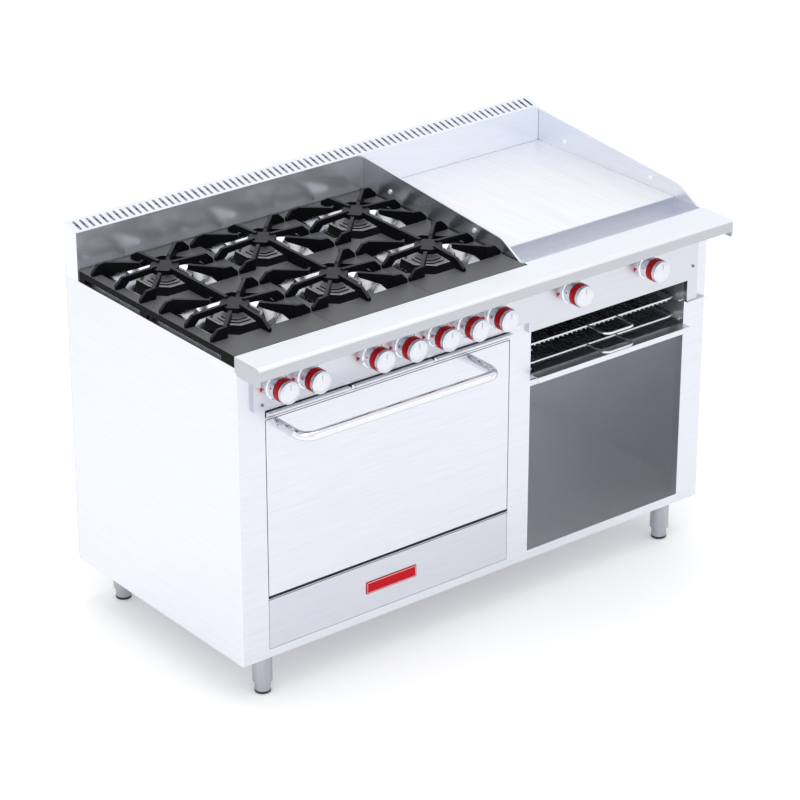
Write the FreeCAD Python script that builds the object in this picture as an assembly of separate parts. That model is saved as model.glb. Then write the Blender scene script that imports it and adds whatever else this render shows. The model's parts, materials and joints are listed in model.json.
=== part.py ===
"""Commercial gas range: six open burners, griddle with broiler racks below, oven and open cabinet.

Millimetres, +Z up. The parts are drawn with X from the left side, Y from the front plane of the
body towards the back and Z from the floor. place() then moves each one so that the origin is the
bottom centre of the whole range's box.
"""
import FreeCAD, Part
import math
import os

V = FreeCAD.Vector

# ---- driving dimensions ----
WIDTH = 1524.0            # 60 inch range
BODY_DEPTH = 735.0        # front plane to the rear panel's back face
UNDERSIDE = 118.0         # bottom of the body
SIDE_TOP = 925.0          # top of the side panels, where the grates rest
COOK_TOP = 955.0          # ledge, grate plate and griddle surface
SHEET = 2.0               # sheet metal
LEDGE_REACH = 93.0        # ledge in front of the body
LEDGE_UNDER = 914.0
PANEL_PROUD = 10.0        # control panel in front of the body
HANDLE_REACH = 115.0      # oven handle's centre line in front of the door
HANDLE_R = 12.5
INLET_REACH = 20.0        # gas inlet behind the rear panel

GRATE_PITCH = 300.5
GRATE_WIDTH = 299.5
GRATE_FRONT, GRATE_BACK = 8.0, 672.0
FIN_TOP = 988.0           # at the hubs; the fins fall a little outwards
FIN_THICK = 9.0
BURNER_ROWS = (214.0, 514.0)
OPENING_X, OPENING_Y, OPENING_CUT = 120.0, 113.0, 52.0   # half sizes and corner cut in a grate

GUARD_FRONT = 678.0       # front face of the backguard
GUARD_TOP_FRONT, GUARD_TOP_BACK = 1052.0, 1066.0
SPLASH_LEFT, SPLASH_THICK = 906.0, 6.0
GRIDDLE_FRONT, GRIDDLE_THICK = 125.0, 30.0

DOOR_X = (83.0, 844.0)
DOOR_Z = (289.0, 766.0)
DOOR_THICK = 45.0
HINGE_Y, HINGE_Z, HINGE_R = 12.0, 301.0, 5.0
OVEN_X, OVEN_Z, OVEN_Y = (130.0, 797.0), (330.0, 700.0), (52.0, 650.0)

CABINET_X = (916.0, 1449.0)
CABINET_Z = (143.0, 618.0)
BROILER_Z = (634.0, 775.0)
PARTITION_X = 862.0

KNOB_X = (111.0, 205.0, 400.0, 501.0, 604.0, 699.0, 794.0, 1042.0, 1305.0)
KNOB_NAMES = ("burner_1", "burner_2", "burner_3", "burner_4", "burner_5", "burner_6",
              "oven", "griddle_left", "griddle_right")
KNOB_Z = 853.0
SPINDLE_R = 4.0
FIT = 0.05                # radial running clearance
GAP = 0.3                 # between pieces that rest on each other but come apart

MANIFOLD_Y, MANIFOLD_R = 60.0, 16.7
SUPPLY_X, SUPPLY_R = 890.0, 13.35

REAR_FEED = 54.0          # rear burners' mixing tubes run this far to the right of the front burners

TRAY_X0, TRAY_WIDTH, TRAY_SPACE = 85.0, 244.0, 14.0
LEG_FRONT, LEG_REAR, LEG_SIDE = 46.0, 670.0, 90.0
SLEEVE_R, FOOT_R = 25.5, 20.5

FRONT_MOST = -(HANDLE_REACH + HANDLE_R)
REAR_MOST = BODY_DEPTH + INLET_REACH
HEAD_TOP, HEADER_Z = 792.0, (768.0, 772.0)   # top of the tray slot; strip between door and trays
ORIGIN = V(WIDTH / 2, (FRONT_MOST + REAR_MOST) / 2, 0)

parts = {}


# ---- helpers ----
def box(x0, x1, y0, y1, z0, z1):
    return Part.makeBox(x1 - x0, y1 - y0, z1 - z0, V(x0, y0, z0))


def rod(start, end, radius):
    start, end = V(*start), V(*end)
    return Part.makeCylinder(radius, (end - start).Length, start, end - start)


def outline(corners, to_space):
    """A closed wire. A corner is (u, v) or (u, v, radius); with a radius it is a tangent arc."""
    joints = []
    count = len(corners)
    for i, corner in enumerate(corners):
        here = to_space(*corner[:2])
        radius = corner[2] if len(corner) > 2 else 0
        if not radius:
            joints.append((here, None, here))
            continue
        back = (to_space(*corners[i - 1][:2]) - here).normalize()
        ahead = (to_space(*corners[(i + 1) % count][:2]) - here).normalize()
        half = back.getAngle(ahead) / 2
        middle = (back + ahead).normalize()
        reach = radius / math.tan(half)
        crown = here + middle * (radius / math.sin(half) - radius)
        joints.append((here + back * reach, crown, here + ahead * reach))
    edges = []
    for i, (first, crown, last) in enumerate(joints):
        if crown is not None:
            edges.append(Part.Arc(first, crown, last).toShape())
        following = joints[(i + 1) % count][0]
        if (following - last).Length > 1e-6:
            edges.append(Part.LineSegment(last, following).toShape())
    return Part.Wire(edges)


def slab_x(corners, x0, x1):
    """Extrudes a (y, z) outline along X."""
    return Part.Face(outline(corners, lambda u, v: V(x0, u, v))).extrude(V(x1 - x0, 0, 0))


def slab_y(corners, y0, y1):
    """Extrudes an (x, z) outline along Y."""
    return Part.Face(outline(corners, lambda u, v: V(u, y0, v))).extrude(V(0, y1 - y0, 0))


def slab_z(corners, z0, z1):
    """Extrudes an (x, y) outline along Z."""
    return Part.Face(outline(corners, lambda u, v: V(u, v, z0))).extrude(V(0, 0, z1 - z0))


def rectangle(u0, u1, v0, v1, radius=0):
    return [(u0, v0, radius), (u1, v0, radius), (u1, v1, radius), (u0, v1, radius)]


def octagon(cx, cy, reach):
    """Corners of an octagon whose flats face X and Y; reach is centre to corner."""
    turns = [math.radians(22.5 + 45 * k) for k in range(8)]
    return [(cx + reach * math.cos(a), cy + reach * math.sin(a)) for a in turns]


def tapered_octagon(cx, cy, low_reach, low_z, high_reach, high_z):
    low = outline(octagon(cx, cy, low_reach), lambda u, v: V(u, v, low_z))
    high = outline(octagon(cx, cy, high_reach), lambda u, v: V(u, v, high_z))
    return Part.makeLoft([low, high], True, True)


def fuse(shapes):
    joined = shapes[0].multiFuse(shapes[1:]) if len(shapes) > 1 else shapes[0]
    return joined.removeSplitter()


def mirror_x(shape, middle=WIDTH / 2):
    return shape.mirror(V(middle, 0, 0), V(1, 0, 0))


def place(shape):
    moved = shape.copy()
    moved.translate(ORIGIN * -1)
    return moved


def add(name, *shapes):
    """Keeps one node: a single solid, or a group of separate solids."""
    parts[name] = place(shapes[0] if len(shapes) == 1 else Part.makeCompound(list(shapes)))


def open_pan(x0, x1, y0, y1, z0, z1, wall=SHEET):
    """Bottom and four walls of a pan, as flat sheets that meet edge to edge."""
    return [box(x0, x1, y0, y1, z0, z0 + wall),
            box(x0, x0 + wall, y0, y1, z0 + wall, z1), box(x1 - wall, x1, y0, y1, z0 + wall, z1),
            box(x0 + wall, x1 - wall, y0, y0 + wall, z0 + wall, z1),
            box(x0 + wall, x1 - wall, y1 - wall, y1, z0 + wall, z1)]


def window_strips(x0, x1, y0, y1, z0, z1, hole):
    """A sheet in the XZ plane with one rectangular hole, as four strips."""
    hx0, hx1, hz0, hz1 = hole
    return [box(x0, hx0, y0, y1, z0, z1), box(hx1, x1, y0, y1, z0, z1),
            box(hx0, hx1, y0, y1, z0, hz0), box(hx0, hx1, y0, y1, hz1, z1)]


def bent_bar(x0, x1, back, front, z, radius, bend):
    """A U-shaped round bar in a level plane: two legs, two bends and the bar between them."""
    pieces = [rod((x, back, z), (x, front + bend, z), radius) for x in (x0, x1)]
    pieces.append(rod((x0 + bend, front, z), (x1 - bend, front, z), radius))
    for x, first in ((x0 + bend, 180), (x1 - bend, 270)):
        centre = V(x, front + bend, z)
        corner = Part.makeTorus(bend, radius, centre, V(0, 0, 1), -180, 180, 90)
        corner.rotate(centre, V(0, 0, 1), first)
        pieces.append(corner)
    return pieces


# ---- body shell ----
def side_panel(flange_front, ledge_back):
    plate = slab_z([(0, 0, 1.5), (SHEET, 0), (SHEET, BODY_DEPTH - SHEET), (0, BODY_DEPTH - SHEET)],
                   UNDERSIDE, SIDE_TOP)
    flange = box(SHEET, 20, flange_front, GUARD_FRONT - 2, SIDE_TOP - SHEET, SIDE_TOP)
    ledge_notch = box(-1, 3, -1, ledge_back, LEDGE_UNDER, SIDE_TOP + 1)
    return [plate.cut(ledge_notch), flange]


def rear_panel():
    panel = box(0, WIDTH, BODY_DEPTH - SHEET, BODY_DEPTH, UNDERSIDE, COOK_TOP)
    inlet = rod((SUPPLY_X, BODY_DEPTH - 5, KNOB_Z), (SUPPLY_X, BODY_DEPTH + 5, KNOB_Z), SUPPLY_R + 1)
    return panel.cut(inlet)


def partition():
    wall = box(PARTITION_X, PARTITION_X + SHEET, SHEET, BODY_DEPTH - SHEET, UNDERSIDE + SHEET, SIDE_TOP - 6)
    pipe_window = box(PARTITION_X - 1, PARTITION_X + 3, 40, 80, KNOB_Z - 20, KNOB_Z + 20)
    ledge_notch = box(PARTITION_X - 1, PARTITION_X + 3, 0, 21, LEDGE_UNDER - 1, SIDE_TOP)
    return wall.cut(pipe_window).cut(ledge_notch)


def front_frame():
    """Welded face frame with the oven, tray, broiler and cabinet openings and the door's jambs."""
    inner, outer = SHEET, WIDTH - SHEET
    (c0, c1), (b0, b1) = CABINET_X, BROILER_Z
    z_bottom, z_top = UNDERSIDE, LEDGE_UNDER
    top_band = box(inner, outer, 0, SHEET, HEAD_TOP, z_top)
    for x in KNOB_X:
        top_band = top_band.cut(rod((x, -1, KNOB_Z), (x, 3, KNOB_Z), 16))
    strips = [top_band, box(inner, 81, 0, SHEET, z_bottom, HEAD_TOP),
              box(846, c0, 0, SHEET, z_bottom, HEAD_TOP),
              box(c1, outer, 0, SHEET, z_bottom, HEAD_TOP), box(81, 846, 0, SHEET, z_bottom, 141),
              box(81, 846, 0, SHEET, *HEADER_Z), box(c0, c1, 0, SHEET, z_bottom, CABINET_Z[0]),
              box(c0, c1, 0, SHEET, CABINET_Z[1], b0), box(c0, c1, 0, SHEET, b1, HEAD_TOP)]
    jambs = []
    for x0, x1, boss in ((79, 81, (73, 79)), (846, 848, (848, 854))):
        jambs.append(box(x0, x1, SHEET, OVEN_Y[0], 141, HEADER_Z[0]))
        jambs.append(box(*boss, 3, 21, HINGE_Z - 9, HINGE_Z + 9))
    pin_bore = rod((60, HINGE_Y, HINGE_Z), (870, HINGE_Y, HINGE_Z), HINGE_R + FIT)
    jambs = [piece.cut(pin_bore) for piece in jambs]
    returns = [box(79, 848, SHEET, OVEN_Y[0], HEADER_Z[0], HEADER_Z[0] + SHEET),
               box(81, 846, SHEET, 50, 278, 280),
               box(c0 - SHEET, c0, SHEET, 24, *CABINET_Z), box(c1, c1 + SHEET, SHEET, 24, *CABINET_Z)]
    return strips + jambs + returns


def kick_panel():
    face = box(82, 845, 0, SHEET, 142, 277)
    return [face, box(82, 845, SHEET, 16, 142, 144), box(82, 845, SHEET, 16, 275, 277)]


def body_shell():
    add("side_panel_left", *side_panel(GRATE_FRONT, 6))
    add("side_panel_right", *[mirror_x(piece) for piece in side_panel(GRIDDLE_FRONT + 5, 20)])
    add("rear_panel", rear_panel())
    add("base_pan", box(SHEET, WIDTH - SHEET, SHEET, BODY_DEPTH - SHEET, UNDERSIDE, UNDERSIDE + SHEET))
    add("centre_partition", partition())
    add("front_frame", *front_frame())
    add("kick_panel", *kick_panel())
    add("badge_plate", slab_y(rectangle(383.5, 543.5, 193, 226, 2), -2, 0))


# ---- control panel and front ledge ----
def control_panel():
    corners = [(41, 803), (900, 803), (900, 775), (1449, 775), (1449, 715), (1484, 715),
               (1484, LEDGE_UNDER), (41, LEDGE_UNDER)]
    inside = [(43, 805), (902, 805), (902, 777), (1451, 777), (1451, 717), (1482, 717),
              (1482, LEDGE_UNDER - 2), (43, LEDGE_UNDER - 2)]
    shell = slab_y(corners, -PANEL_PROUD, 0).cut(slab_y(inside, SHEET - PANEL_PROUD, 1))
    lip = box(1449, 1512, -PANEL_PROUD - 4, 0, 713, 715)
    shell = fuse([shell, lip])
    for x in KNOB_X:
        shell = shell.cut(rod((x, -PANEL_PROUD - 1, KNOB_Z), (x, 0, KNOB_Z), SPINDLE_R + 3))
    return shell


def ledge():
    outer = [(20, COOK_TOP), (-LEDGE_REACH, COOK_TOP, 10), (-LEDGE_REACH, 921, 2),
             (-PANEL_PROUD, LEDGE_UNDER),
             (20, LEDGE_UNDER)]
    inner = [(18, COOK_TOP - 2), (2 - LEDGE_REACH, COOK_TOP - 2, 8), (2 - LEDGE_REACH, 923),
             (-PANEL_PROUD, LEDGE_UNDER + 2), (18, LEDGE_UNDER + 2)]
    tube = slab_x(outer, 4, WIDTH - 4).cut(slab_x(inner, 3, WIDTH - 3))
    cap = [(20, COOK_TOP), (-LEDGE_REACH, COOK_TOP, 10), (-LEDGE_REACH, 907, 5), (0, 907), (0, LEDGE_UNDER),
           (20, LEDGE_UNDER)]
    whole = fuse([tube, slab_x(cap, 0, 4), slab_x(cap, WIDTH - 4, WIDTH)])
    shorter = whole.cut(box(-1, SPLASH_LEFT, 6, 21, LEDGE_UNDER - 1, COOK_TOP + 1))
    return fuse([shorter, box(0, SPLASH_LEFT, 4, 6, LEDGE_UNDER, COOK_TOP)])


def knob():
    """A turned knob with its spindle, about the Y axis at the origin: skirt, band, neck and cap."""
    profile = [(18, 0), (18, SPINDLE_R), (-13.5, SPINDLE_R), (-13.5, 30, 1.5), (-33, 28.5), (-33, 30.5),
               (-52, 30.5), (-52, 28), (-55, 28), (-55, 29), (-67, 28, 2), (-67, 0)]
    face = Part.Face(outline(profile, lambda u, v: V(v, u, 0)))
    return face.revolve(V(0, 0, 0), V(0, 1, 0), 360)


def bezel(x):
    profile = [(-PANEL_PROUD, 12), (-PANEL_PROUD, 34), (-11, 34), (-13, 31), (-13, 12)]
    face = Part.Face(outline(profile, lambda u, v: V(x + v, u, KNOB_Z)))
    return face.revolve(V(x, 0, KNOB_Z), V(0, 1, 0), 360)


def valve(x):
    body = box(x - 13, x + 13, 8, 40, KNOB_Z - 13, KNOB_Z + 13)
    neck = rod((x, -6, KNOB_Z), (x, 8, KNOB_Z), 9)
    nipple = rod((x, 40, KNOB_Z), (x, MANIFOLD_Y - MANIFOLD_R - 0.1, KNOB_Z), 6)
    bore = rod((x, -7, KNOB_Z), (x, 20, KNOB_Z), SPINDLE_R + FIT)
    return fuse([body, neck, nipple]).cut(bore)


def controls():
    add("control_panel", control_panel())
    add("front_ledge", ledge())
    for name, x in zip(KNOB_NAMES, KNOB_X):
        turned = knob()
        turned.translate(V(x, 0, KNOB_Z))
        add("knob_" + name, turned)
    add("knob_bezels", *[bezel(x) for x in KNOB_X])
    add("gas_valves", *[valve(x) for x in KNOB_X])


# ---- backguard ----
def backguard_shell():
    front = box(0, WIDTH, GUARD_FRONT, GUARD_FRONT + SHEET, SIDE_TOP, GUARD_TOP_FRONT)
    y0, y1 = GUARD_FRONT + SHEET, BODY_DEPTH - SHEET
    rise = (GUARD_TOP_BACK - GUARD_TOP_FRONT) / (BODY_DEPTH - GUARD_FRONT)
    back = box(0, WIDTH, y1, BODY_DEPTH, COOK_TOP, GUARD_TOP_BACK - rise * SHEET)
    end = [(y0, SIDE_TOP), (y1, SIDE_TOP), (y1, GUARD_TOP_BACK - rise * SHEET),
           (y0, GUARD_TOP_FRONT + rise * SHEET)]
    return [front, back, slab_x(end, 0, SHEET), slab_x(end, WIDTH - SHEET, WIDTH)]


def backguard_top():
    """Sloping cover with flue slots that run front to back."""
    sheet = slab_x([(GUARD_FRONT, GUARD_TOP_FRONT), (BODY_DEPTH, GUARD_TOP_BACK),
                    (BODY_DEPTH, GUARD_TOP_BACK + SHEET), (GUARD_FRONT, GUARD_TOP_FRONT + SHEET)], 0, WIDTH)
    count, slot_width = 75, 8.0
    pitch = (WIDTH - 24) / count
    slots = []
    for k in range(count):
        x = 12 + pitch * (k + 0.5)
        slots.append(slab_z(rectangle(x - slot_width / 2, x + slot_width / 2, GUARD_FRONT + 8,
                                      BODY_DEPTH - 10, 3.5), GUARD_TOP_FRONT - 5, GUARD_TOP_BACK + 5))
    return sheet.cut(Part.makeCompound(slots))


# ---- griddle ----
def splash(x0):
    profile = [(20.2, SIDE_TOP), (GUARD_FRONT - 1, SIDE_TOP), (GUARD_FRONT - 1, 1045, 4),
               (110, 992, 60), (36, 951, 20), (20.2, 944)]
    return slab_x(profile, x0, x0 + SPLASH_THICK)


def splash_bolts():
    """Bolt heads on the griddle's side of both splashes and on the burners' side of the left one."""
    faces = ((SPLASH_LEFT + SPLASH_THICK, 3.0), (SPLASH_LEFT, -3.0), (WIDTH - SPLASH_THICK, -3.0))
    return [rod((x, y, 981), (x + proud, y, 981), 6) for x, proud in faces for y in (217, 565)]


def griddle():
    x0, x1 = SPLASH_LEFT + SPLASH_THICK + 0.5, WIDTH - SPLASH_THICK - 0.5
    add("griddle_plate", box(x0, x1, GRIDDLE_FRONT, GUARD_FRONT - 1, COOK_TOP - GRIDDLE_THICK, COOK_TOP))
    trough = open_pan(x0, x1, 20.5, GRIDDLE_FRONT, 916, COOK_TOP - 1)
    trough[0] = trough[0].cut(rod((x0 + 40, 72, 910), (x0 + 40, 72, 920), 16))
    add("grease_trough", *trough)
    add("griddle_splashes", splash(SPLASH_LEFT), splash(WIDTH - SPLASH_THICK))
    burners = []
    for centre in KNOB_X[7:]:
        mixing_tube = rod((centre, 84, 880), (centre, 380, 880), 13)
        cross = rod((centre - 90, 380, 880), (centre + 90, 380, 880), 11)
        legs = [rod((centre + side, 130, 880), (centre + side, 640, 880), 13) for side in (-90, 90)]
        burners.append(fuse([mixing_tube, cross] + legs))
    add("griddle_burners", *burners)


# ---- open burners and grates ----
def burner_centres():
    return [(1 + GRATE_PITCH * column + GRATE_WIDTH / 2, y) for column in range(3) for y in BURNER_ROWS]


def burner_head(cx, cy):
    """Octagonal head: a flared wall, a flat rim and a low stepped dome inside it."""
    base = tapered_octagon(cx, cy, 44, 905, 70, 930)
    wall = tapered_octagon(cx, cy, 77, 930, 71, 952)
    dish = tapered_octagon(cx, cy, 58, 944, 64, 953)
    dome = [slab_z(octagon(cx, cy, reach), 943, top) for reach, top in ((53, 946), (44, 949.5), (34, 953))]
    return fuse([fuse([base, wall]).cut(dish)] + dome)


def drip_bowl(cx, cy):
    """Raised square deck with folded sides and an octagonal funnel that catches boil-over."""
    deck, thick = COOK_TOP - 11.5, 1.5
    shell = box(cx - 132, cx + 132, cy - 138, cy + 138, SIDE_TOP, deck)
    shell = shell.cut(box(cx - 132 + thick, cx + 132 - thick, cy - 138 + thick, cy + 138 - thick,
                          SIDE_TOP - 1, deck - thick))
    funnel = tapered_octagon(cx, cy, 54, 903, 114, deck)
    hollow = tapered_octagon(cx, cy, 52, 902.9, 112, deck + 0.1)
    return fuse([shell, funnel]).cut(hollow)


def mixing_tube(cx, cy, index):
    """Front burners are fed straight; rear ones past the front burner and across."""
    if index % 2 == 0:
        runs = [rod((cx, 84, 880), (cx, cy, 880), 13), rod((cx, cy, 862), (cx, cy, 905), 16)]
    else:
        side = cx + REAR_FEED
        runs = [rod((side, 84, 888), (side, cy, 888), 13), rod((cx, cy, 888), (side + 10, cy, 888), 13),
                rod((cx, cy, 870), (cx, cy, 905), 16)]
    return fuse(runs)


def elbowed_tube(points, radius):
    """Straight runs between square elbow blocks, all separate so that nothing fills the bends."""
    half = radius + 1.5
    blocks = [box(x - half, x + half, y - half, y + half, z - half, z + half) for x, y, z in points[1:-1]]
    runs = []
    for i, (a, b) in enumerate(zip(points, points[1:])):
        along = (V(*b) - V(*a)).normalize()
        start = V(*a) + along * (half if i else 0)
        end = V(*b) - along * (half if i < len(points) - 2 else 0)
        runs.append(rod(tuple(start), tuple(end), radius))
    return runs + blocks


def feed_tube(points, radius):
    """Thin gas tube from the top of a valve to the mouth of a mixing tube, with tight elbows."""
    runs = [rod(a, b, radius) for a, b in zip(points, points[1:])]
    return fuse(runs + [Part.makeSphere(radius, V(*p)) for p in points[1:-1]])


def fin(profile, cx, cy, turn):
    """A cast rib: a (radius, z) profile along +X from a burner's centre, turned about it."""
    rib = slab_y(profile, -FIN_THICK / 2, FIN_THICK / 2)
    rib.rotate(V(0, 0, 0), V(0, 0, 1), turn)
    rib.translate(V(cx, cy, 0))
    return rib


def grate_plate(cx, cy, x0, x1):
    """The flat metal beside one burner's opening, with two of the opening's corners cut off."""
    under, top = COOK_TOP - 10, COOK_TOP
    left, right = cx - OPENING_X, cx + OPENING_X
    front, back = cy - OPENING_Y, cy + OPENING_Y
    cut = OPENING_CUT
    return [box(x0, left, front, back, under, top), box(right, x1, front, back, under, top),
            slab_z([(left, front), (left + cut, front), (left, front + cut)], under, top),
            slab_z([(right, back), (right - cut, back), (right, back - cut)], under, top)]


def corner_fin(cx, cy, turn):
    """A diagonal fin with the short wing that carries its outer end along X to the plate."""
    top, end, root = FIN_TOP, FIN_TOP - 3, COOK_TOP
    inner = [(66, 974), (60, 978)]
    if turn in (45, 225):
        profile = [(60, top), (153, end), (153, root), (129, root), (118, 960)]
        wing = [(100, end), (127, end - 2), (146, 965), (146, root), (100, root)]
    else:
        profile = [(60, top), (153, end), (153, root - 9), (133, root - 8), (118, 960)]
        wing = [(100, end), (127, end - 2), (146, 965), (146, root), (120, root),
                (120, root - 9), (100, root - 9)]
    if turn == 45:
        inner = [(66, 968), (33, 968), (33, 975), (56, 984)]
    wing_y = cy + (107 if turn in (45, 135) else -107)
    toward = 0 if turn in (45, 315) else 180
    return fuse([fin(profile + inner, cx, cy, turn), fin(wing, cx, wing_y, toward)])


def grate(column):
    """Cast-iron top: a skirted plate with two burner openings, each with a hub and eight fins."""
    x0 = 1 + GRATE_PITCH * column
    x1 = x0 + GRATE_WIDTH
    cx = (x0 + x1) / 2
    foot, under, root = SIDE_TOP + GAP, COOK_TOP - 10, COOK_TOP
    front_row, rear_row = BURNER_ROWS
    solids = []
    bands = ((GRATE_FRONT, front_row - OPENING_Y), (front_row + OPENING_Y, rear_row - OPENING_Y),
             (rear_row + OPENING_Y, GRATE_BACK))
    for y0, y1 in bands:
        solids.append(box(x0, x1, y0, y1, under, root))
    for y0, y1 in ((GRATE_FRONT, GRATE_FRONT + 7), (GRATE_BACK - 7, GRATE_BACK)):
        solids.append(box(x0, x1, y0, y1, foot, under))
    for edge in (x0, x1 - 7):
        for y0, y1 in ((GRATE_FRONT + 7, 62), (372, 405), (649, GRATE_BACK - 7)):
            solids.append(box(edge, edge + 7, y0, y1, foot, under - 7))
        solids.append(box(edge, edge + 7, GRATE_FRONT + 7, GRATE_BACK - 7, under - 7, under))
    top, lower = FIN_TOP, FIN_TOP - 14
    side_fin = [(25, top), (126, top - 4), (146, 965), (146, root),
                (121, root), (119, 957), (108, 968), (25, lower)]
    end_fin = [(25, top), (115, top - 5), (145, 964), (145, root),
               (114, root), (112, 957), (101, 967), (25, lower)]
    span = rear_row - front_row
    spine = [(33, top), (span - 33, top), (span - 33, lower), (span - 101, 967), (span - 112, 957),
             (span - 114, root), (114, root), (112, 957), (101, 967), (33, lower)]
    fins = [fin(end_fin, cx, front_row, 270), fin(end_fin, cx, rear_row, 90), fin(spine, cx, front_row, 90)]
    hubs = [slab_z(octagon(cx, cy, 38), FIN_TOP - 18, FIN_TOP - 5) for cy in BURNER_ROWS]
    for cy in BURNER_ROWS:
        solids += grate_plate(cx, cy, x0, x1)
        fins += [fin(side_fin, cx, cy, turn) for turn in (0, 180)]
        fins += [corner_fin(cx, cy, turn) for turn in (45, 135, 225, 315)]
    return solids + hubs + [piece.cut(Part.makeCompound(hubs)) for piece in fins]


def burner_section():
    centres = burner_centres()
    for column, name in enumerate(("left", "centre", "right")):
        add("grate_" + name, *grate(column))
    add("burner_heads", *[burner_head(*c) for c in centres])
    add("burner_drip_bowls", *[drip_bowl(*c) for c in centres])
    add("burner_mixing_tubes", *[mixing_tube(cx, cy, i) for i, (cx, cy) in enumerate(centres)])
    add("burner_support_rails", *support_rails())
    tubes = []
    for i, (cx, cy) in enumerate(centres):
        lane, height, mouth = (32, 888, cx + REAR_FEED) if i % 2 else (16, 880, cx)
        across = [(mouth, lane, height)] if abs(mouth - KNOB_X[i]) > 8 else []
        end = mouth if across else KNOB_X[i]
        tubes.append(feed_tube([(KNOB_X[i], lane, KNOB_Z + 13), (KNOB_X[i], lane, height)] + across
                               + [(end, 82, height)], 3.5))
    tubes += [feed_tube([(x, 24, KNOB_Z + 13), (x, 24, 880), (x, 82, 880)], 3.5) for x in KNOB_X[7:]]
    x = KNOB_X[6]
    tubes += elbowed_tube([(x, 15, KNOB_Z + 13), (x, 15, 903), (854, 15, 903), (854, 34, 903),
                           (854, 34, 240), (854, 68, 240), (464, 68, 240), (464, 82, 240)], 4.0)
    add("gas_feed_tubes", *tubes)


def support_rails():
    """Flat bars under the grates, bowls and griddle, and the crumb trays' runners."""
    z0 = SIDE_TOP - 6
    rails = [box(x0, x1, 36, 658, z0, SIDE_TOP) for x0, x1 in ((286, 318), (588, 620), (890, 905))]
    rails.append(box(905, 930, GRIDDLE_FRONT + 5, 658, z0, SIDE_TOP))
    rails.append(box(20, 905, 8, 36, z0, SIDE_TOP))
    rails.append(box(20, WIDTH - 20, 658, GUARD_FRONT, z0, SIDE_TOP))
    pitch = TRAY_WIDTH + TRAY_SPACE
    for k in range(4):
        left = TRAY_X0 - TRAY_SPACE + pitch * k - (0 if k == 0 else 6)
        right = TRAY_X0 + pitch * k + 6 - (TRAY_SPACE if k == 3 else 0)
        rails.append(box(max(left, 79), min(right, 848), SHEET, 655, 770, 774 - GAP))
    return rails


def manifold():
    """Header pipe, a square tee, the supply pipe to the rear and its threaded end."""
    r, half = MANIFOLD_R, 19.0
    tee = box(SUPPLY_X - half, SUPPLY_X + half, MANIFOLD_Y - half, MANIFOLD_Y + half,
              KNOB_Z - half, KNOB_Z + half)
    left = rod((70, MANIFOLD_Y, KNOB_Z), (SUPPLY_X - half, MANIFOLD_Y, KNOB_Z), r)
    right = rod((SUPPLY_X + half, MANIFOLD_Y, KNOB_Z), (1360, MANIFOLD_Y, KNOB_Z), r)
    supply = rod((SUPPLY_X, MANIFOLD_Y + half, KNOB_Z), (SUPPLY_X, BODY_DEPTH + 2, KNOB_Z), SUPPLY_R - 1)
    stub = rod((SUPPLY_X, BODY_DEPTH + 2, KNOB_Z), (SUPPLY_X, REAR_MOST, KNOB_Z), SUPPLY_R)
    bore = rod((SUPPLY_X, BODY_DEPTH + 2, KNOB_Z), (SUPPLY_X, REAR_MOST + 1, KNOB_Z), SUPPLY_R - 2.9)
    return [tee, left, right, supply, stub.cut(bore)]


# ---- crumb trays ----
def crumb_tray(index):
    x0 = TRAY_X0 + index * (TRAY_WIDTH + TRAY_SPACE)
    x1 = x0 + TRAY_WIDTH
    pan = open_pan(x0, x1, 0, 640, 774, 787, 1.5)
    return pan + [box(x0, x1, -16, 1.5, 787, 789), box(x0, x1, -16, -14, 783, 787)]


# ---- oven ----
def oven_liner():
    (x0, x1), (z0, z1), (y0, y1) = OVEN_X, OVEN_Z, OVEN_Y
    flange = window_strips(81, 846, y0 - SHEET, y0, 280, HEADER_Z[0], (x0, x1, z0, z1))
    walls = [box(x0 - SHEET, x0, y0, y1, 290, z1 + SHEET), box(x1, x1 + SHEET, y0, y1, 290, z1 + SHEET),
             box(x0, x1, y0, y1, z1, z1 + SHEET),
             box(x0 - SHEET, x1 + SHEET, y1, y1 + SHEET, 290, z1 + SHEET)]
    return flange + walls


def rack_guides(x_left, x_right, depth, y0, levels, width=10.0):
    rails = []
    for z in levels:
        rails.append(box(x_left, x_left + width, y0, y0 + depth, z - SHEET, z))
        rails.append(box(x_right - width, x_right, y0, y0 + depth, z - SHEET, z))
    return rails


def wire_rack(x0, x1, y0, y1, z, wire, rib, pitch, corner):
    """A round-wire frame with front-to-back ribs welded under it."""
    rails = [rod((x0 + corner, y, z), (x1 - corner, y, z), wire) for y in (y0, y1)]
    rails += [rod((x, y0 + corner, z), (x, y1 - corner, z), wire) for x in (x0, x1)]
    for cx, cy, start in ((x0 + corner, y0 + corner, 180), (x1 - corner, y0 + corner, 270),
                          (x1 - corner, y1 - corner, 0), (x0 + corner, y1 - corner, 90)):
        bend = Part.makeTorus(corner, wire, V(cx, cy, z), V(0, 0, 1), -180, 180, 90)
        bend.rotate(V(cx, cy, z), V(0, 0, 1), start)
        rails.append(bend)
    count = round((x1 - x0 - 2 * corner) / pitch)
    step = (x1 - x0 - 2 * corner) / count
    drop = wire + rib - 1.2
    ribs = [rod((x0 + corner + step * (k + 0.5), y0, z - drop),
                (x0 + corner + step * (k + 0.5), y1, z - drop), rib) for k in range(count)]
    return rails, ribs


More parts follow.
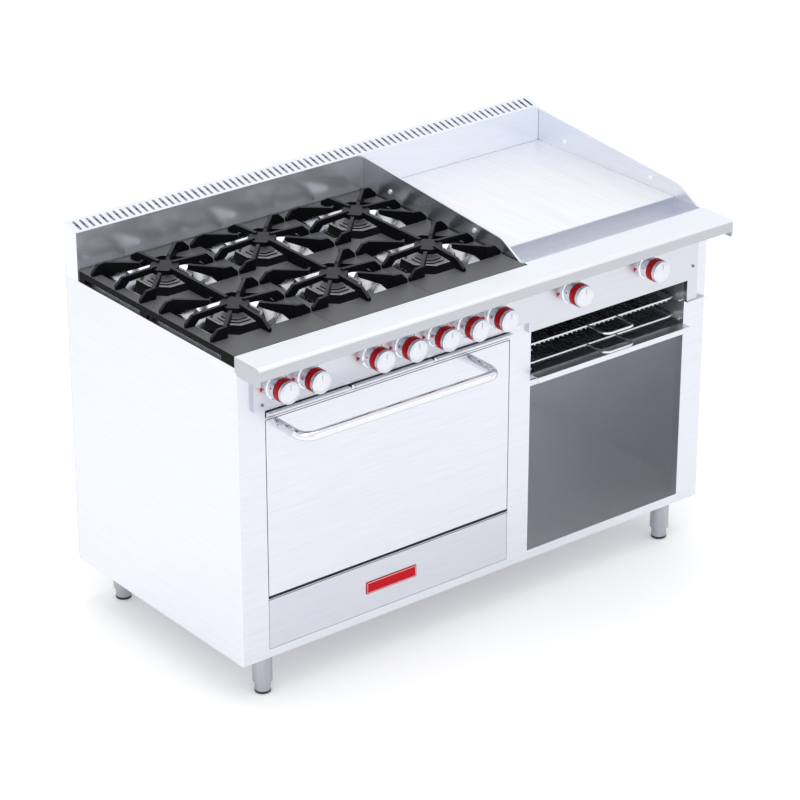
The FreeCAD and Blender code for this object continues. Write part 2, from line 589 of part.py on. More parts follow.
def oven_parts():
    add("oven_liner", *oven_liner())
    (x0, x1), (z0, z1), (y0, y1) = OVEN_X, OVEN_Z, OVEN_Y
    floor = box(x0, x1, y0, y1 - 12, z0 - 3, z0)
    for x in (x0 + 18, x1 - 30):
        floor = floor.cut(slab_z(rectangle(x, x + 12, y0 + 60, y1 - 70, 5), z0 - 4, z0 + 1))
    add("oven_floor", floor)
    tube = rod((464, 84, 240), (464, 600, 240), 20)
    strap = box(454, 474, 560, 580, UNDERSIDE + SHEET, 222)
    add("oven_burner", fuse([tube, strap]))
    add("oven_rack_guides", *rack_guides(x0, x1, 560, y0 + 20, (470, 560, 640)))
    rails, ribs = wire_rack(x0 + 7, x1 - 7, 74, 626, 470 + 4 + GAP, 4, 2.5, 24, 14)
    add("oven_rack", fuse(rails + ribs))


def door_outer():
    x0, x1, z0, z1 = DOOR_X + DOOR_Z
    pin_hole = rod((x0 - 1, HINGE_Y, HINGE_Z), (x1 + 1, HINGE_Y, HINGE_Z), HINGE_R + 0.2)
    sides = [box(x, x + SHEET, SHEET, 30, z0, z1).cut(pin_hole) for x in (x0, x1 - SHEET)]
    ends = [box(x0 + SHEET, x1 - SHEET, SHEET, 30, z, z + SHEET) for z in (z0, z1 - SHEET)]
    return [slab_y(rectangle(x0, x1, z0, z1, 2), 0, SHEET)] + sides + ends


def door_inner():
    x0, x1, z0, z1 = DOOR_X + DOOR_Z
    back = DOOR_THICK - SHEET
    sides = [box(x, x + SHEET, 30, back, z0, z1) for x in (x0, x1 - SHEET)]
    ends = [box(x0 + SHEET, x1 - SHEET, 30, back, z, z + SHEET) for z in (z0, z1 - SHEET)]
    return [box(x0, x1, back, DOOR_THICK, z0, z1)] + sides + ends


def oven_door():
    x0, x1, z0, z1 = DOOR_X + DOOR_Z
    add("door_outer_shell", *door_outer())
    add("door_inner_panel", *door_inner())
    wool = box(x0 + 3, x1 - 3, 2.5, DOOR_THICK - 2.5, z0 + 3, z1 - 3)
    for pocket in ((x0, x0 + 16), (x1 - 16, x1)):
        wool = wool.cut(box(*pocket, 0, 23, z0, HINGE_Z + 11))
    add("door_insulation", wool)
    gasket_y = (DOOR_THICK, OVEN_Y[0] - SHEET - GAP)
    add("door_gasket", *window_strips(104, 823, *gasket_y, 312, 742, (114, 813, 322, 732)))
    add("door_handle", *bent_bar(113, 711, 0, -HANDLE_REACH, z1 - 13, HANDLE_R, 34))
    pins = []
    for pin_end, block in ((75, (x0 + SHEET, x0 + 14)), (852, (x1 - 14, x1 - SHEET))):
        pin = rod((pin_end, HINGE_Y, HINGE_Z), (sum(block) / 2, HINGE_Y, HINGE_Z), HINGE_R)
        pins.append(fuse([pin, box(*block, 3, 21, z0 + 3, HINGE_Z + 9)]))
    add("door_hinge_pins", *pins)


# ---- cabinet and broiler ----
def cabinet_parts():
    x0, x1 = PARTITION_X + SHEET, WIDTH - SHEET
    floor = box(x0, x1, SHEET, 700, CABINET_Z[0] - 2, CABINET_Z[0])
    back = box(x0, x1, 700, 702, CABINET_Z[0] - 2, 775)
    shelf = box(x0, x1, SHEET, 700, CABINET_Z[1] + 4, CABINET_Z[1] + 6)
    add("cabinet_liner", floor, back, shelf)
    sides = [box(x, x + SHEET, SHEET, 660, CABINET_Z[1] + 6, BROILER_Z[1] + 20)
             for x in (CABINET_X[0] - SHEET, CABINET_X[1])]
    wire = 3.5
    levels = [z - wire - GAP for z in (719, 666)] + [BROILER_Z[0]]
    guides = rack_guides(CABINET_X[0], CABINET_X[1], 630, 8, levels, 12)
    add("broiler_side_plates", *(sides + guides))
    for name, z in (("upper", 719), ("lower", 666)):
        rails, ribs = wire_rack(CABINET_X[0] + 6, CABINET_X[1] - 6, 28, 610, z, wire, 2.4, 16, 24)
        middle = sum(CABINET_X) / 2
        pull = bent_bar(middle - 50, middle + 50, 28 - wire, -46, z, wire, 18)
        add("broiler_rack_" + name, fuse(rails + ribs), *pull)
    pan = open_pan(CABINET_X[0] + 2, CABINET_X[1] - 2, 3, 612, BROILER_Z[0] + GAP, 648, 1.5)
    lip = box(CABINET_X[0] + 2, CABINET_X[1] - 2, -29, 4.5, 648, 650)
    hem = box(CABINET_X[0] + 2, CABINET_X[1] - 2, -29, -27, 644, 648)
    apron = box(930, 1435, -16, -14, 627, 648)
    add("broiler_drip_tray", *(pan + [lip, hem, apron]))


# ---- legs and fasteners ----
def legs():
    corners = {"front_left": (LEG_SIDE, LEG_FRONT), "front_right": (WIDTH - LEG_SIDE, LEG_FRONT),
               "rear_left": (LEG_SIDE, LEG_REAR), "rear_right": (WIDTH - LEG_SIDE, LEG_REAR)}
    sleeves = []
    for name, (x, y) in corners.items():
        tube = rod((x, y, 32), (x, y, UNDERSIDE - 3), SLEEVE_R)
        flange = slab_z(rectangle(x - 38, x + 38, y - 38, y + 38, 6), UNDERSIDE - 3, UNDERSIDE)
        sleeves.append(fuse([tube, flange]).cut(rod((x, y, 31), (x, y, 108), FOOT_R + 0.5)))
        profile = [(0, 0), (0, 15), (4, FOOT_R, 1.5), (108 - GAP, FOOT_R), (108 - GAP, 0)]
        face = Part.Face(outline(profile, lambda u, v: V(x + v, y, u)))
        add("foot_" + name, face.revolve(V(x, y, 0), V(0, 0, 1), 360))
    add("leg_sleeves", *sleeves)


def fasteners():
    screws = [rod((x, -PANEL_PROUD - 2, z), (x, -PANEL_PROUD, z), 4) for x, z in
              ((67, 815), (1467, 812), (67, 895), (1467, 895))]
    add("body_fasteners", *(screws + splash_bolts()))


def main():
    body_shell()
    controls()
    add("backguard", *(backguard_shell() + [backguard_top()]))
    griddle()
    burner_section()
    add("gas_manifold", *manifold())
    for index, name in enumerate(("left", "centre", "right")):
        add("crumb_tray_" + name, *crumb_tray(index))
    oven_parts()
    oven_door()
    cabinet_parts()
    legs()
    fasteners()
    os.makedirs("parts", exist_ok=True)
    for name, shape in parts.items():
        shape.exportStep("parts/" + name + ".step")
        print(name, len(shape.Solids), round(shape.Volume), "valid" if shape.isValid() else "INVALID")
    print(len(parts), "nodes")


main()
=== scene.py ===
"""Looks of the commercial gas range: materials, detailed knobs, badge and fittings, and the studio."""
import bpy
import bmesh
import json
import math
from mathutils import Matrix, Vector


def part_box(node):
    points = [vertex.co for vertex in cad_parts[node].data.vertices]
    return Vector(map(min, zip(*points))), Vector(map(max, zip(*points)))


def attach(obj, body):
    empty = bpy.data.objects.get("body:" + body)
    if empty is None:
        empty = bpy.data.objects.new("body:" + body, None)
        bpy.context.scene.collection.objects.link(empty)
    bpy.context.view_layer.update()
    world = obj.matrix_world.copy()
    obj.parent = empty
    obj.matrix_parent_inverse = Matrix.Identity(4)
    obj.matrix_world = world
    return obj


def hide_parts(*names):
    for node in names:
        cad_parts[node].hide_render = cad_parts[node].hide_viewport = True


MM = 0.001

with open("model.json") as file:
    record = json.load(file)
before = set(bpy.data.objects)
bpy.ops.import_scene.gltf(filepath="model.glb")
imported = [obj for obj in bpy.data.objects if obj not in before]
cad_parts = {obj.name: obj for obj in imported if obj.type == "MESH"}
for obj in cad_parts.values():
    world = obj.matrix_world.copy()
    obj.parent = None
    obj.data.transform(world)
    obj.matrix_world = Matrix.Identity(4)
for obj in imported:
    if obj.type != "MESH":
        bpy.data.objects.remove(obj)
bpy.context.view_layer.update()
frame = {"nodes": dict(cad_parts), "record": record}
nodes = frame["nodes"]

KNOBS = [n for n in nodes if n.startswith("knob_") and n != "knob_bezels"]
FEET = [n for n in nodes if n.startswith("foot_")]


# ---- materials ----
# Noise scales: small along the scratches, large across them.
ALONG_X, ALONG_Y, ALONG_Z, ALL_ROUND = (9, 620, 620), (620, 9, 620), (420, 420, 6), (500, 500, 500)
CAST_GRAIN, GRAIN_CHANGE = (420, 420, 420), 0.14
NOISE_LOW, NOISE_HIGH = 0.3, 0.7
SATIN = (0.30, 0.38)
# How far a face looks up, from 0 to 1, where the painted shade of the ledge's nose (NOSE_TURN) and the painted
# light on iron tops (TOP_TURN) start and where they are complete.
NOSE_TURN, TOP_TURN = (0.15, 0.6), (0.35, 0.92)
# Heights in the shaders: the deck of the grates, and a level between the panel screws and the splash bolts.
DECK_MM, SPLASH_MM = 955, 940


def material(name, color, metallic=0.0, roughness=0.5, coat=0.0, specular=None):
    """A plain shader; a colour is linear RGB."""
    mat = bpy.data.materials.new(name)
    mat.use_nodes = True
    shader = mat.node_tree.nodes["Principled BSDF"]
    shader.inputs["Base Color"].default_value = (*color, 1)
    shader.inputs["Metallic"].default_value = metallic
    shader.inputs["Roughness"].default_value = roughness
    shader.inputs["Coat Weight"].default_value = coat
    if specular is not None:
        shader.inputs["Specular IOR Level"].default_value = specular
    return mat


def grain(mat, scale, tones, rough=None, bump=0.0, bump_mm=0.05, detail=4.0):
    """Noise stretched by scale: varies the colour between two tones, the roughness and the surface."""
    tree = mat.node_tree
    shader = tree.nodes["Principled BSDF"]
    coords = tree.nodes.new("ShaderNodeTexCoord")
    mapping = tree.nodes.new("ShaderNodeMapping")
    mapping.inputs["Scale"].default_value = scale
    noise = tree.nodes.new("ShaderNodeTexNoise")
    noise.inputs["Scale"].default_value = 1.0
    noise.inputs["Detail"].default_value = detail
    tree.links.new(coords.outputs["Object"], mapping.inputs["Vector"])
    tree.links.new(mapping.outputs["Vector"], noise.inputs["Vector"])
    ramp = tree.nodes.new("ShaderNodeValToRGB")
    for stop, place, color in zip(ramp.color_ramp.elements, (NOISE_LOW, NOISE_HIGH), tones):
        stop.position = place
        stop.color = (*color, 1)
    tree.links.new(noise.outputs["Fac"], ramp.inputs["Fac"])
    tree.links.new(ramp.outputs["Color"], shader.inputs["Base Color"])
    if rough:
        wear = spread(tree, (NOISE_LOW, NOISE_HIGH), rough)
        tree.links.new(noise.outputs["Fac"], wear.inputs["Value"])
        tree.links.new(wear.outputs["Result"], shader.inputs["Roughness"])
    if bump:
        relief = tree.nodes.new("ShaderNodeBump")
        relief.inputs["Strength"].default_value = bump
        relief.inputs["Distance"].default_value = bump_mm * MM
        tree.links.new(noise.outputs["Fac"], relief.inputs["Height"])
        tree.links.new(relief.outputs["Normal"], shader.inputs["Normal"])
    return mat


def spread(tree, source, target):
    """A Map Range node from one pair of values to another."""
    node = tree.nodes.new("ShaderNodeMapRange")
    node.inputs["From Min"].default_value, node.inputs["From Max"].default_value = source
    node.inputs["To Min"].default_value, node.inputs["To Max"].default_value = target
    return node


def brushed(name, low, high, scale, rough, metallic=1.0):
    """Steel with fine parallel scratches: scale is small along them and large across."""
    return grain(material(name, high, metallic, rough[0]), scale, (low, high), rough, 0.25, 0.03)


def upright(tree):
    """The vertical part of the surface's direction: 1 on a top, 0 on a side."""
    split = tree.nodes.new("ShaderNodeSeparateXYZ")
    tree.links.new(tree.nodes.new("ShaderNodeNewGeometry").outputs["Normal"], split.inputs["Vector"])
    return split.outputs["Z"]


def height(tree):
    """The height in metres, from the object's own coordinates."""
    coords = next(node for node in tree.nodes if node.type == "TEX_COORD")
    split = tree.nodes.new("ShaderNodeSeparateXYZ")
    tree.links.new(coords.outputs["Object"], split.inputs["Vector"])
    return split.outputs["Z"]


def tone(tree):
    """The colour that grain() gives."""
    return next(node for node in tree.nodes if node.type == "VALTORGB").outputs["Color"]


def blend(tree, share, start, end):
    """Base colour that goes from start to end with share; each is a colour or a node's output."""
    mix = tree.nodes.new("ShaderNodeMix")
    mix.data_type = "RGBA"
    tree.links.new(share, mix.inputs["Factor"])
    for socket, value in (("A", start), ("B", end)):
        if isinstance(value, tuple):
            mix.inputs[socket].default_value = (*value, 1)
        else:
            tree.links.new(value, mix.inputs[socket])
    tree.links.new(mix.outputs["Result"], tree.nodes["Principled BSDF"].inputs["Base Color"])


def shade_front(mat, factor):
    """Painted shade: darkens the upright and downward faces, as the nose of a ledge under a ceiling light is
    shaded.
    """
    tree = mat.node_tree
    share = spread(tree, NOSE_TURN, (factor, 1.0))
    tree.links.new(upright(tree), share.inputs["Value"])
    scale = tree.nodes.new("ShaderNodeVectorMath")
    scale.operation = "SCALE"
    tree.links.new(tone(tree), scale.inputs[0])
    tree.links.new(share.outputs["Result"], scale.inputs["Scale"])
    tree.links.new(scale.outputs["Vector"], tree.nodes["Principled BSDF"].inputs["Base Color"])
    return mat


def bright_above(mat, height_mm, color):
    """A second, bright colour above a height: the splash bolts take it, the panel screws below keep the dark
    tone.
    """
    tree = mat.node_tree
    above = spread(tree, ((height_mm - 1) * MM, (height_mm + 1) * MM), (0.0, 1.0))
    tree.links.new(height(tree), above.inputs["Value"])
    blend(tree, above.outputs["Result"], tone(tree), color)
    return mat


def iron(name, lit_top_tone, shaded_side_tone, deck_mm, tops):
    """Cast iron with painted light and shade: faces looking up take the lit grey up to the deck's height, by
    the share tops above it; every side face takes a painted shade near black.
    """
    tones = [[(1 + change) * c for c in lit_top_tone] for change in (-GRAIN_CHANGE, GRAIN_CHANGE)]
    mat = grain(material(name, lit_top_tone), CAST_GRAIN, tones, (0.42, 0.58), 0.35, 0.2)
    tree = mat.node_tree
    upward = spread(tree, TOP_TURN, (0.0, 1.0))
    tree.links.new(upright(tree), upward.inputs["Value"])
    on_deck = spread(tree, ((deck_mm + 1.5) * MM, (deck_mm + 0.5) * MM), (tops, 1.0))
    tree.links.new(height(tree), on_deck.inputs["Value"])
    lit_top_share = tree.nodes.new("ShaderNodeMath")
    lit_top_share.operation = "MULTIPLY"
    tree.links.new(upward.outputs["Result"], lit_top_share.inputs[0])
    tree.links.new(on_deck.outputs["Result"], lit_top_share.inputs[1])
    blend(tree, lit_top_share.outputs["Value"], shaded_side_tone, tone(tree))
    # The painted-lit tops also get a higher specular level than the painted-shade sides.
    shine = spread(tree, (0.0, 1.0), (0.05, 0.4))
    tree.links.new(lit_top_share.outputs["Value"], shine.inputs["Value"])
    tree.links.new(shine.outputs["Result"], tree.nodes["Principled BSDF"].inputs["Specular IOR Level"])
    return mat


steel_x = brushed("steel_brushed_x", (0.70, 0.72, 0.775), (0.77, 0.79, 0.845), ALONG_X, SATIN)
steel_y = brushed("steel_brushed_y", (0.765, 0.785, 0.835), (0.835, 0.855, 0.905), ALONG_Y, SATIN)
guard_steel = brushed("guard_steel", (0.80, 0.83, 0.90), (0.88, 0.91, 0.98), ALONG_X, (0.17, 0.24), 0.74)
# The ledge's steel carries a painted shade on its nose and other upright faces.
ledge_steel = shade_front(brushed("ledge_steel", (0.83, 0.86, 0.92), (0.91, 0.94, 0.99), ALONG_X, SATIN), 0.60)
# Painted shade: the control panel under the ledge and the kick panel near the floor get a darker steel than the
# doors and frame.
shaded_panel_steel = brushed("shaded_panel_steel", (0.61, 0.63, 0.685), (0.67, 0.69, 0.745), ALONG_X, SATIN)
leg_steel = brushed("leg_steel", (0.40, 0.41, 0.45), (0.49, 0.50, 0.54), ALONG_Z, (0.3, 0.4))
griddle_steel = brushed("griddle_ground_steel", (0.84, 0.85, 0.88), (0.93, 0.94, 0.96), (260, 4, 260),
                        (0.28, 0.4), 0.75)
liner_steel = brushed("liner_steel", (0.84, 0.85, 0.88), (0.92, 0.93, 0.96), ALL_ROUND, (0.40, 0.50))
screen_steel = grain(material("screen_steel", (0.7, 0.7, 0.73), 0.3, 0.5), (300, 300, 300),
                     ((0.66, 0.66, 0.69), (0.76, 0.76, 0.79)), (0.45, 0.55))
galvanised = grain(material("galvanised", (0.55, 0.56, 0.59), 1.0, 0.45), (35, 35, 35),
                   ((0.52, 0.53, 0.56), (0.66, 0.67, 0.71)), (0.36, 0.5), 0.1, 0.05, 2.0)
aluminised = grain(material("aluminised", (0.8, 0.81, 0.83), 1.0, 0.3), (60, 60, 60),
                   ((0.60, 0.61, 0.64), (0.76, 0.77, 0.79)), (0.2, 0.32), 0.1, 0.05)
# Painted light and shade on the grates and burner heads: lit grey on faces looking up, near-black painted shade
# on every side face.
cast_iron = iron("cast_iron", (0.085, 0.086, 0.091), (0.004, 0.004, 0.005), DECK_MM, 0.28)
head_iron = iron("head_iron", (0.30, 0.30, 0.31), (0.006, 0.006, 0.007), 0, 1.0)
rough_iron = grain(material("rough_iron", (0.16, 0.16, 0.165), 0.75, 0.5), (300, 300, 300),
                   ((0.12, 0.12, 0.125), (0.22, 0.22, 0.228)), (0.42, 0.6), 0.5, 0.2)
chrome = grain(material("chrome", (0.82, 0.83, 0.87), 1.0, 0.08), (90, 90, 90),
               ((0.78, 0.79, 0.83), (0.84, 0.85, 0.89)), (0.06, 0.11))
satin_chrome = grain(material("satin_chrome", (0.8, 0.81, 0.83), 1.0, 0.22), (500, 500, 500),
                     ((0.74, 0.75, 0.77), (0.84, 0.85, 0.87)), (0.18, 0.28))
knob_face = grain(material("knob_face", (0.8, 0.81, 0.83), 1.0, 0.3), (400, 400, 400),
                  ((0.70, 0.72, 0.77), (0.76, 0.78, 0.83)), (0.26, 0.34))
screw_steel = bright_above(grain(material("screw_steel", (0.2, 0.2, 0.22), 0.3, 0.35), (400, 400, 400),
                                 ((0.16, 0.16, 0.18), (0.26, 0.26, 0.28)), (0.3, 0.4)),
                           SPLASH_MM, (0.93, 0.94, 0.96))
red = grain(material("knob_red", (0.42, 0.002, 0.006), 0.0, 0.28, 0.05, 0.25), (200, 200, 200),
            ((0.38, 0.001, 0.005), (0.46, 0.002, 0.008)))
badge_red = grain(material("badge_red", (0.48, 0.002, 0.010), 0.0, 0.4, 0.0, 0.12), (150, 150, 150),
                  ((0.44, 0.001, 0.008), (0.52, 0.002, 0.012)))
pointer_grey = grain(material("pointer_grey", (0.48, 0.49, 0.52), 0.6, 0.45), (300, 300, 300),
                     ((0.44, 0.45, 0.48), (0.52, 0.53, 0.56)))
black = grain(material("satin_black", (0.012, 0.012, 0.013), 0.0, 0.4), (200, 200, 200),
              ((0.010, 0.010, 0.011), (0.018, 0.018, 0.019)))
brass = grain(material("brass", (0.6, 0.42, 0.15), 1.0, 0.3), (200, 200, 200),
              ((0.55, 0.38, 0.13), (0.66, 0.47, 0.18)), (0.25, 0.4))
enamel = grain(material("oven_enamel", (0.02, 0.021, 0.025), 0.0, 0.2, 0.3), (900, 900, 900),
               ((0.012, 0.013, 0.016), (0.05, 0.052, 0.06)), detail=1.0)
wool = grain(material("insulation", (0.6, 0.55, 0.4), 0.0, 0.95), (300, 300, 300),
             ((0.5, 0.45, 0.3), (0.68, 0.63, 0.5)), None, 0.6, 1.0)
braid = grain(material("gasket_braid", (0.05, 0.05, 0.05), 0.0, 0.85), (700, 700, 700),
              ((0.03, 0.03, 0.03), (0.09, 0.09, 0.09)), None, 0.6, 0.4)

FINISH = {
    ledge_steel: ["front_ledge"],
    shaded_panel_steel: ["control_panel", "kick_panel"],
    steel_x: ["front_frame", "grease_trough", "door_outer_shell", "broiler_drip_tray",
              "crumb_tray_left", "crumb_tray_centre", "crumb_tray_right"],
    steel_y: ["side_panel_left", "side_panel_right", "griddle_splashes"],
    leg_steel: ["leg_sleeves"] + FEET,
    satin_chrome: ["oven_rack", "oven_rack_guides", "broiler_rack_upper", "broiler_rack_lower"],
    screw_steel: ["body_fasteners"],
    chrome: ["knob_bezels", "door_handle"],
    griddle_steel: ["griddle_plate"],
    guard_steel: ["backguard"],
    liner_steel: ["cabinet_liner", "broiler_side_plates", "centre_partition"],
    galvanised: ["rear_panel", "base_pan", "burner_support_rails"],
    aluminised: ["burner_drip_bowls", "gas_feed_tubes"],
    cast_iron: ["grate_left", "grate_centre", "grate_right"],
    head_iron: ["burner_heads"],
    rough_iron: ["burner_mixing_tubes", "griddle_burners", "oven_burner"],
    black: ["gas_manifold", "door_hinge_pins"],
    brass: ["gas_valves"],
    enamel: ["oven_liner", "oven_floor", "door_inner_panel"],
    wool: ["door_insulation"],
    braid: ["door_gasket"],
    badge_red: ["badge_plate"],
}


def finish_nodes():
    """Gives every CAD node in FINISH its material; knob() replaces the knobs' nodes by turned pieces."""
    for mat, names in FINISH.items():
        for name in names:
            slots = nodes[name].material_slots
            for slot in slots:
                slot.material = mat
            if not slots:
                nodes[name].data.materials.append(mat)


def soften(names, width_mm):
    """A small bevel on sharp edges, so that they catch the light."""
    for name in names:
        bevel = nodes[name].modifiers.new("edge", "BEVEL")
        bevel.width = width_mm * MM
        bevel.segments = 2
        bevel.limit_method = "ANGLE"
        bevel.angle_limit = math.radians(35)
        bevel.harden_normals = True


# ---- pieces ----
def piece(name, mesh, mats, body, smooth_deg=35.0):
    """A new object that rides on a body, with the given materials."""
    obj = bpy.data.objects.new(name, mesh)
    bpy.context.scene.collection.objects.link(obj)
    for mat in mats:
        mesh.materials.append(mat)
    mesh.polygons.foreach_set("use_smooth", [True] * len(mesh.polygons))
    mesh.set_sharp_from_angle(angle=math.radians(smooth_deg))
    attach(obj, body)
    return obj


def skin(rings, turns):
    """Side faces between successive rings of a turned mesh."""
    faces = []
    for index in range(rings - 1):
        for k in range(turns):
            a, b = index * turns + k, index * turns + (k + 1) % turns
            faces.append((a, b, b + turns, a + turns))
    return faces


def lathe(profile, centre, turns, flutes):
    """A solid turned about -Y from (forward mm, radius mm, material) rings; flutes is {ring: depth}."""
    verts = []
    for index, (forward, radius, _) in enumerate(profile):
        depth = flutes.get(index, 0.0)
        for k in range(turns):
            a = 2 * math.pi * k / turns
            r = radius - (depth if k % 2 else 0.0)
            verts.append(centre + Vector((r * math.cos(a), -forward, r * math.sin(a))) * MM)
    faces = skin(len(profile), turns)
    mats = [ring[2] for ring in profile[1:] for _ in range(turns)]
    last = (len(profile) - 1) * turns
    faces.append(tuple(range(last, last + turns)))
    mats.append(profile[-1][2])
    faces.append(tuple(reversed(range(turns))))
    mats.append(profile[0][2])
    mesh = bpy.data.meshes.new("turned")
    mesh.from_pydata(verts, [], faces)
    mesh.polygons.foreach_set("material_index", mats)
    fix_normals(mesh)
    return mesh


def fix_normals(mesh):
    """Turns every face outward."""
    work = bmesh.new()
    work.from_mesh(mesh)
    bmesh.ops.recalc_face_normals(work, faces=work.faces)
    work.to_mesh(mesh)
    work.free()


def bevelled_box(low, high, bevel_mm):
    """A box between two corners in metres with rounded edges."""
    work = bmesh.new()
    bmesh.ops.create_cube(work, size=1.0)
    low, high = Vector(low), Vector(high)
    for v in work.verts:
        v.co = Vector(((v.co[i] + 0.5) * (high[i] - low[i]) + low[i]) for i in range(3))
    bmesh.ops.bevel(work, geom=work.edges[:], offset=bevel_mm * MM, segments=3, affect="EDGES", profile=0.5)
    mesh = bpy.data.meshes.new("box")
    work.to_mesh(mesh)
    work.free()
    return mesh


def prism(points, low_y, high_y):
    """Extrudes an (x, z) polygon in metres along Y."""
    count = len(points)
    verts = [(x, low_y, z) for x, z in points] + [(x, high_y, z) for x, z in points]
    faces = [tuple(range(count)), tuple(reversed(range(count, 2 * count)))]
    faces += [(k, (k + 1) % count, count + (k + 1) % count, count + k) for k in range(count)]
    mesh = bpy.data.meshes.new("prism")
    mesh.from_pydata(verts, [], faces)
    fix_normals(mesh)
    return mesh


def joined(meshes):
    """One mesh from several."""
    work = bmesh.new()
    for mesh in meshes:
        work.from_mesh(mesh)
    out = bpy.data.meshes.new("joined")
    work.to_mesh(out)
    work.free()
    return out


# Height and how far past the foot's radius, in mm.
PAD_RINGS = ((0.0, -1.5), (1.5, 0.6), (6.5, 0.8), (8.0, -0.4))


def foot_pad(name):
    """A black ring round the bottom of a levelling foot."""
    low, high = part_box(name)
    x, y, radius = (low.x + high.x) / 2, (low.y + high.y) / 2, (high.x - low.x) / 2
    verts, turns = [], 48
    angles = [2 * math.pi * k / turns for k in range(turns)]
    for z, past in PAD_RINGS:
        r = radius + past * MM
        verts += [(x + r * math.cos(angle), y + r * math.sin(angle), low.z + z * MM) for angle in angles]
    faces = skin(len(PAD_RINGS), turns)
    faces.append(tuple(reversed(range(turns))))
    faces.append(tuple(range((len(PAD_RINGS) - 1) * turns, len(PAD_RINGS) * turns)))
    mesh = bpy.data.meshes.new("pad")
    mesh.from_pydata(verts, [], faces)
    fix_normals(mesh)
    piece(name + "_pad", mesh, [black], name)


STEEL, GRIP, CAP = 0, 1, 2
KNOB_REACH = 67 * MM
POINTER_HALF, POINTER_DEEP, POINTER_FROM, POINTER_TO = 1.1 * MM, 1.2 * MM, 8 * MM, 22 * MM
# Distance forward from the knob's root and radius, in mm, from the shaft to the middle of the cap.
KNOB_PROFILE = [
    (13.5, 4.0, STEEL), (13.5, 28.4, STEEL), (14.4, 29.6, STEEL), (16.0, 30.0, STEEL), (20.0, 29.5, STEEL),
    (31.5, 28.6, STEEL), (32.7, 28.3, STEEL), (33.0, 28.0, STEEL),
    (33.0, 29.8, GRIP), (33.8, 30.4, GRIP), (51.0, 30.4, GRIP), (52.0, 29.9, GRIP), (52.2, 28.0, GRIP),
    (53.5, 27.6, STEEL), (54.2, 28.9, STEEL), (55.0, 29.3, STEEL), (62.0, 29.0, STEEL), (63.2, 28.4, STEEL),
    (64.2, 27.4, STEEL),
    (64.6, 26.2, CAP), (64.2, 25.4, CAP), (64.3, 24.5, CAP), (65.2, 23.6, CAP), (65.9, 21.0, CAP),
    (66.3, 14.0, CAP), (66.4, 6.0, CAP),
]
FLUTED_RINGS = {15: 0.9, 16: 0.9}


def knob(name):
    """Chrome skirt, red grip band, fluted rim and a silver cap with a fine pointer line."""
    low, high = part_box(name)
    x, z, front = (low.x + high.x) / 2, (low.z + high.z) / 2, low.y
    mesh = lathe(KNOB_PROFILE, Vector((x, front + KNOB_REACH, z)), 96, FLUTED_RINGS)
    obj = piece(name + "_turned", mesh, [chrome, red, knob_face], body_of(name), 30)
    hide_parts(name)
    mark = bevelled_box((x - POINTER_HALF, front, z + POINTER_FROM),
                        (x + POINTER_HALF, front + POINTER_DEEP, z + POINTER_TO), 0.4)
    piece(name + "_pointer", mark, [pointer_grey], body_of(name))


def body_of(node):
    """The body that a node belongs to in the record."""
    for body, names in frame["record"]["behaviour"]["bodies"].items():
        if node in names:
            return body
    raise ValueError(node)


MARK_LEFT, MARK_UP = 45 * MM, 3 * MM


def panel_marks():
    """A small red index triangle on the panel's face, to the left of each knob."""
    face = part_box("knob_bezels")[1].y
    for name in KNOBS:
        low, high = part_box(name)
        x, z = (low.x + high.x) / 2 - MARK_LEFT, (low.z + high.z) / 2 + MARK_UP
        points = [(x + 6 * MM, z), (x - 5 * MM, z + 6.5 * MM), (x - 5 * MM, z - 6.5 * MM)]
        piece(name + "_index", prism(points, face - 0.5 * MM, face), [red], "range_body")


def badge_frame():
    """A thin raised border round the badge."""
    low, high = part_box("badge_plate")
    inset, wide, proud, sunk = 2.2 * MM, 1.1 * MM, 0.35 * MM, 0.2 * MM
    x0, x1, z0, z1 = low.x + inset, high.x - inset, low.z + inset, high.z - inset
    bars = [bevelled_box((a, low.y - proud, c), (b, low.y + sunk, d), 0.15)
            for a, b, c, d in ((x0, x1, z0, z0 + wide), (x0, x1, z1 - wide, z1), (x0, x0 + wide, z0, z1),
                               (x1 - wide, x1, z0, z1))]
    piece("badge_border", joined(bars), [satin_chrome], "range_body")


def flue_screen():
    """A pale plate just under the flue slots, inside the backguard."""
    low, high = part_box("backguard")
    mesh = bevelled_box((low.x + 4 * MM, low.y + 6 * MM, high.z - 22 * MM),
                        (high.x - 4 * MM, high.y - 6 * MM, high.z - 19 * MM), 0.4)
    piece("flue_screen", mesh, [screen_steel], "range_body")


# ---- studio ----
FLOOR_REACH = 30.0
FLOOR_DROP = 0.5 * MM
FLOOR_GLOW = 0.2
# Place, target and size in metres, and power in watts.
LIGHTS = {
    "key": ((-3.8, -2.4, 4.2), (0, 0, 0.6), (3.0, 3.0), 34),
    "front": ((1.5, -5.0, 2.2), (0, 0, 0.5), (4.0, 2.5), 10),
    "top": ((0, 0, 4.5), (0, 0, 0.9), (3.5, 3.0), 36),
}


def area_light(name, location, target, size, power):
    """A soft rectangular light, aimed at the target."""
    data = bpy.data.lights.new(name, "AREA")
    data.shape = "RECTANGLE"
    data.size, data.size_y = size
    data.energy = power
    obj = bpy.data.objects.new(name, data)
    obj.location = location
    obj.rotation_mode = "QUATERNION"
    obj.rotation_quaternion = (Vector(target) - Vector(location)).to_track_quat("-Z", "Y")
    bpy.context.scene.collection.objects.link(obj)


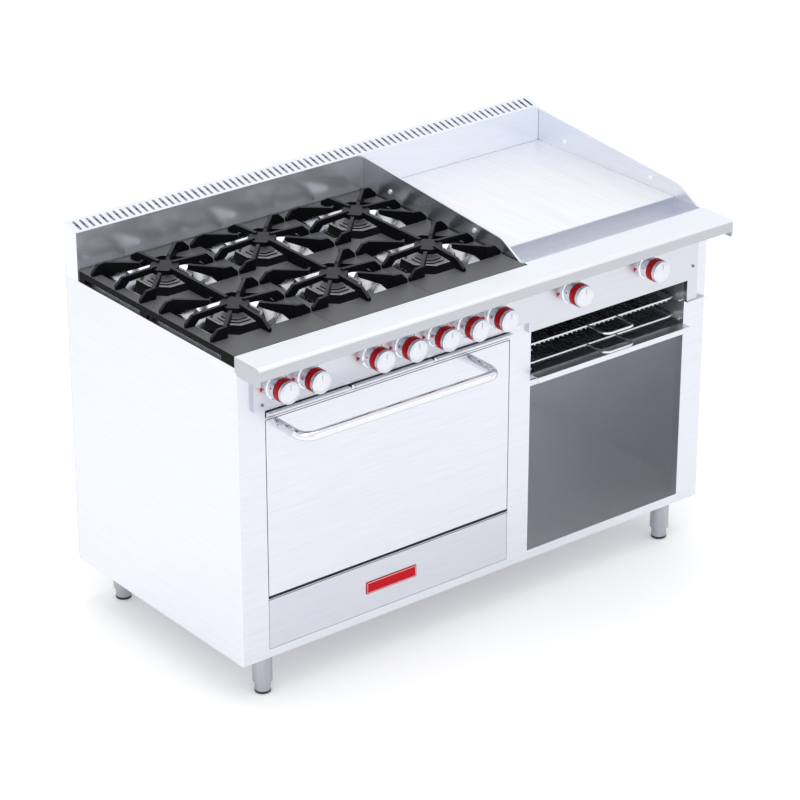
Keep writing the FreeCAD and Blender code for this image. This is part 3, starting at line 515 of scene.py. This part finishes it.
def studio():
    """An even pale surround, a white floor and the soft lights."""
    world = bpy.data.worlds.new("studio")
    world.use_nodes = True
    background = world.node_tree.nodes["Background"]
    background.inputs["Color"].default_value = (0.985, 0.99, 1.0, 1)
    background.inputs["Strength"].default_value = 1.0
    bpy.context.scene.world = world
    mesh = bpy.data.meshes.new("floor")
    far = FLOOR_REACH
    mesh.from_pydata([(-far, -far, 0), (far, -far, 0), (far, far, 0), (-far, far, 0)], [], [(0, 1, 2, 3)])
    floor = bpy.data.objects.new("floor", mesh)
    floor.location.z = -FLOOR_DROP
    white = material("floor_white", (0.86, 0.86, 0.86), 0.0, 0.7, specular=0.2)
    shader = white.node_tree.nodes["Principled BSDF"]
    shader.inputs["Emission Color"].default_value = (1, 1, 1, 1)
    shader.inputs["Emission Strength"].default_value = FLOOR_GLOW
    mesh.materials.append(white)
    bpy.context.scene.collection.objects.link(floor)
    for name, settings in LIGHTS.items():
        area_light(name, *settings)
    bpy.context.scene.view_settings.view_transform = "Standard"


CAMERA_PLACE = (-4.5649, -5.7345, 3.9328)
CAMERA_TURN, CAMERA_TILT = 0.670, 0.437
LENS_MM, SENSOR_MM = 139.1, 36.0


def camera():
    """The camera at the photograph's angle; turn and tilt are in radians."""
    data = bpy.data.cameras.new("camera")
    data.sensor_width = SENSOR_MM
    data.lens = LENS_MM
    cam = bpy.data.objects.new("camera", data)
    cam.location = CAMERA_PLACE
    level = math.cos(CAMERA_TILT)
    forward = Vector((math.sin(CAMERA_TURN) * level, math.cos(CAMERA_TURN) * level, -math.sin(CAMERA_TILT)))
    cam.rotation_mode = "QUATERNION"
    cam.rotation_quaternion = forward.to_track_quat("-Z", "Y")
    data.clip_end = 200
    bpy.context.scene.collection.objects.link(cam)
    bpy.context.scene.camera = cam


finish_nodes()
soften(["front_ledge", "control_panel", "kick_panel", "door_outer_shell", "side_panel_left", "side_panel_right",
        "griddle_splashes", "griddle_plate", "backguard"], 0.7)
soften(["grate_left", "grate_centre", "grate_right"], 1.2)
for knob_name in KNOBS:
    knob(knob_name)
for foot_name in FEET:
    foot_pad(foot_name)
panel_marks()
badge_frame()
flue_screen()
studio()
camera()
